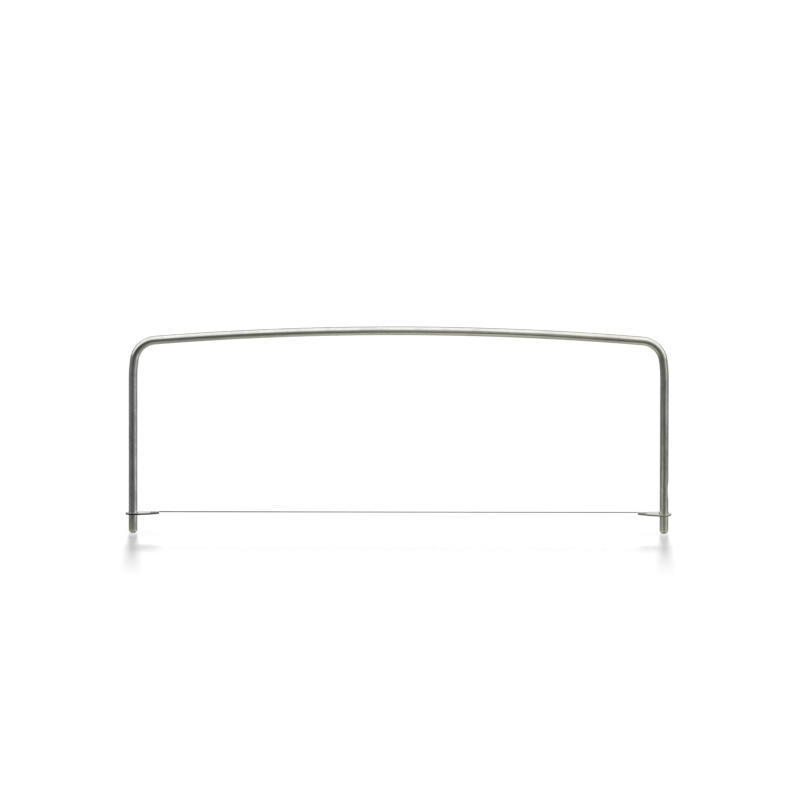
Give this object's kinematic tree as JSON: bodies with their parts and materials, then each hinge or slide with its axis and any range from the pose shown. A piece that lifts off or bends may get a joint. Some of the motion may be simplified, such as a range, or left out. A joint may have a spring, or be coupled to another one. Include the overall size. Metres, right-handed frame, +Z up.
{
  "type": "cake leveler",
  "caption": "Bent steel rod frame on two rounded feet, with a taut cutting wire whose end plates slide on the legs to set the height at which a cake layer is cut.",
  "frame": {"origin": "midway between the two feet, on the surface that they stand on", "axes": "+X along the cutting wire from the left leg to the right, +Y from front to back, +Z up the legs"},
  "size_m": [0.3136, 0.009, 0.1205],
  "materials": {
    "frame_steel": "polished drawn stainless rod with fine lengthwise draw marks",
    "wire_steel": "bright hard-drawn stainless wire",
    "plate_steel": "polished stamped sheet with rolled-over upper edges"
  },
  "bodies": {
    "frame": {"frame_rod": "frame_steel"},
    "wire_carriage": {"cutting_wire": "wire_steel", "left_end_plate": "plate_steel", "right_end_plate": "plate_steel"}
  },
  "joints": [
    {"name": "height_adjust", "type": "slide", "parent": "frame", "child": "wire_carriage", "axis": [0, 0, 1], "range_m": [-0.008, 0.076]}
  ]
}
